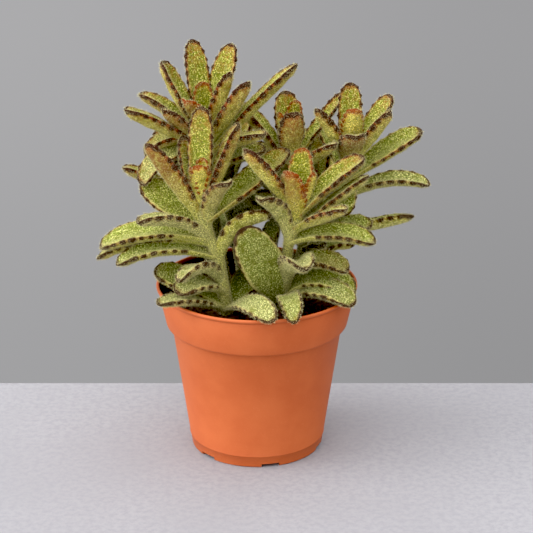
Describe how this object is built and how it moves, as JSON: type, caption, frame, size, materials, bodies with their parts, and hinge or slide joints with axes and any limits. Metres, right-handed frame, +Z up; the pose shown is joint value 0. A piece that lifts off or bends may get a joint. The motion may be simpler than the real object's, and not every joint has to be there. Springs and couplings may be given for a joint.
{
  "type": "potted kalanchoe",
  "caption": "Felt-leaved kalanchoe with upright leafy stems and brown-toothed leaves, growing in a round tapered plastic nursery pot with a deep collar.",
  "frame": {"origin": "centre of the pot's underside, on the surface the pot stands on", "axes": "+Z up the pot's axis, -Y towards the front of the plant, +X to its right"},
  "size_m": [0.1966, 0.1464, 0.2459],
  "materials": {
    "terracotta_plastic": "satin terracotta-coloured thin plastic",
    "potting_mix": "dark crumbly peat mix",
    "felted_leaf": "fleshy green leaf covered in short pale felt, with brown marks along the margins"
  },
  "bodies": {
    "root": {"pot": "terracotta_plastic", "potting_mix": "potting_mix", "leafy_stem_front_left": "felted_leaf", "leafy_stem_front_right": "felted_leaf", "leafy_stem_tall_left": "felted_leaf", "leafy_stem_mid_back": "felted_leaf", "leafy_stem_right_back": "felted_leaf", "leafy_stem_left_low": "felted_leaf", "leafy_stem_rear_left": "felted_leaf", "leafy_stem_rear_right": "felted_leaf"}
  },
  "joints": []
}
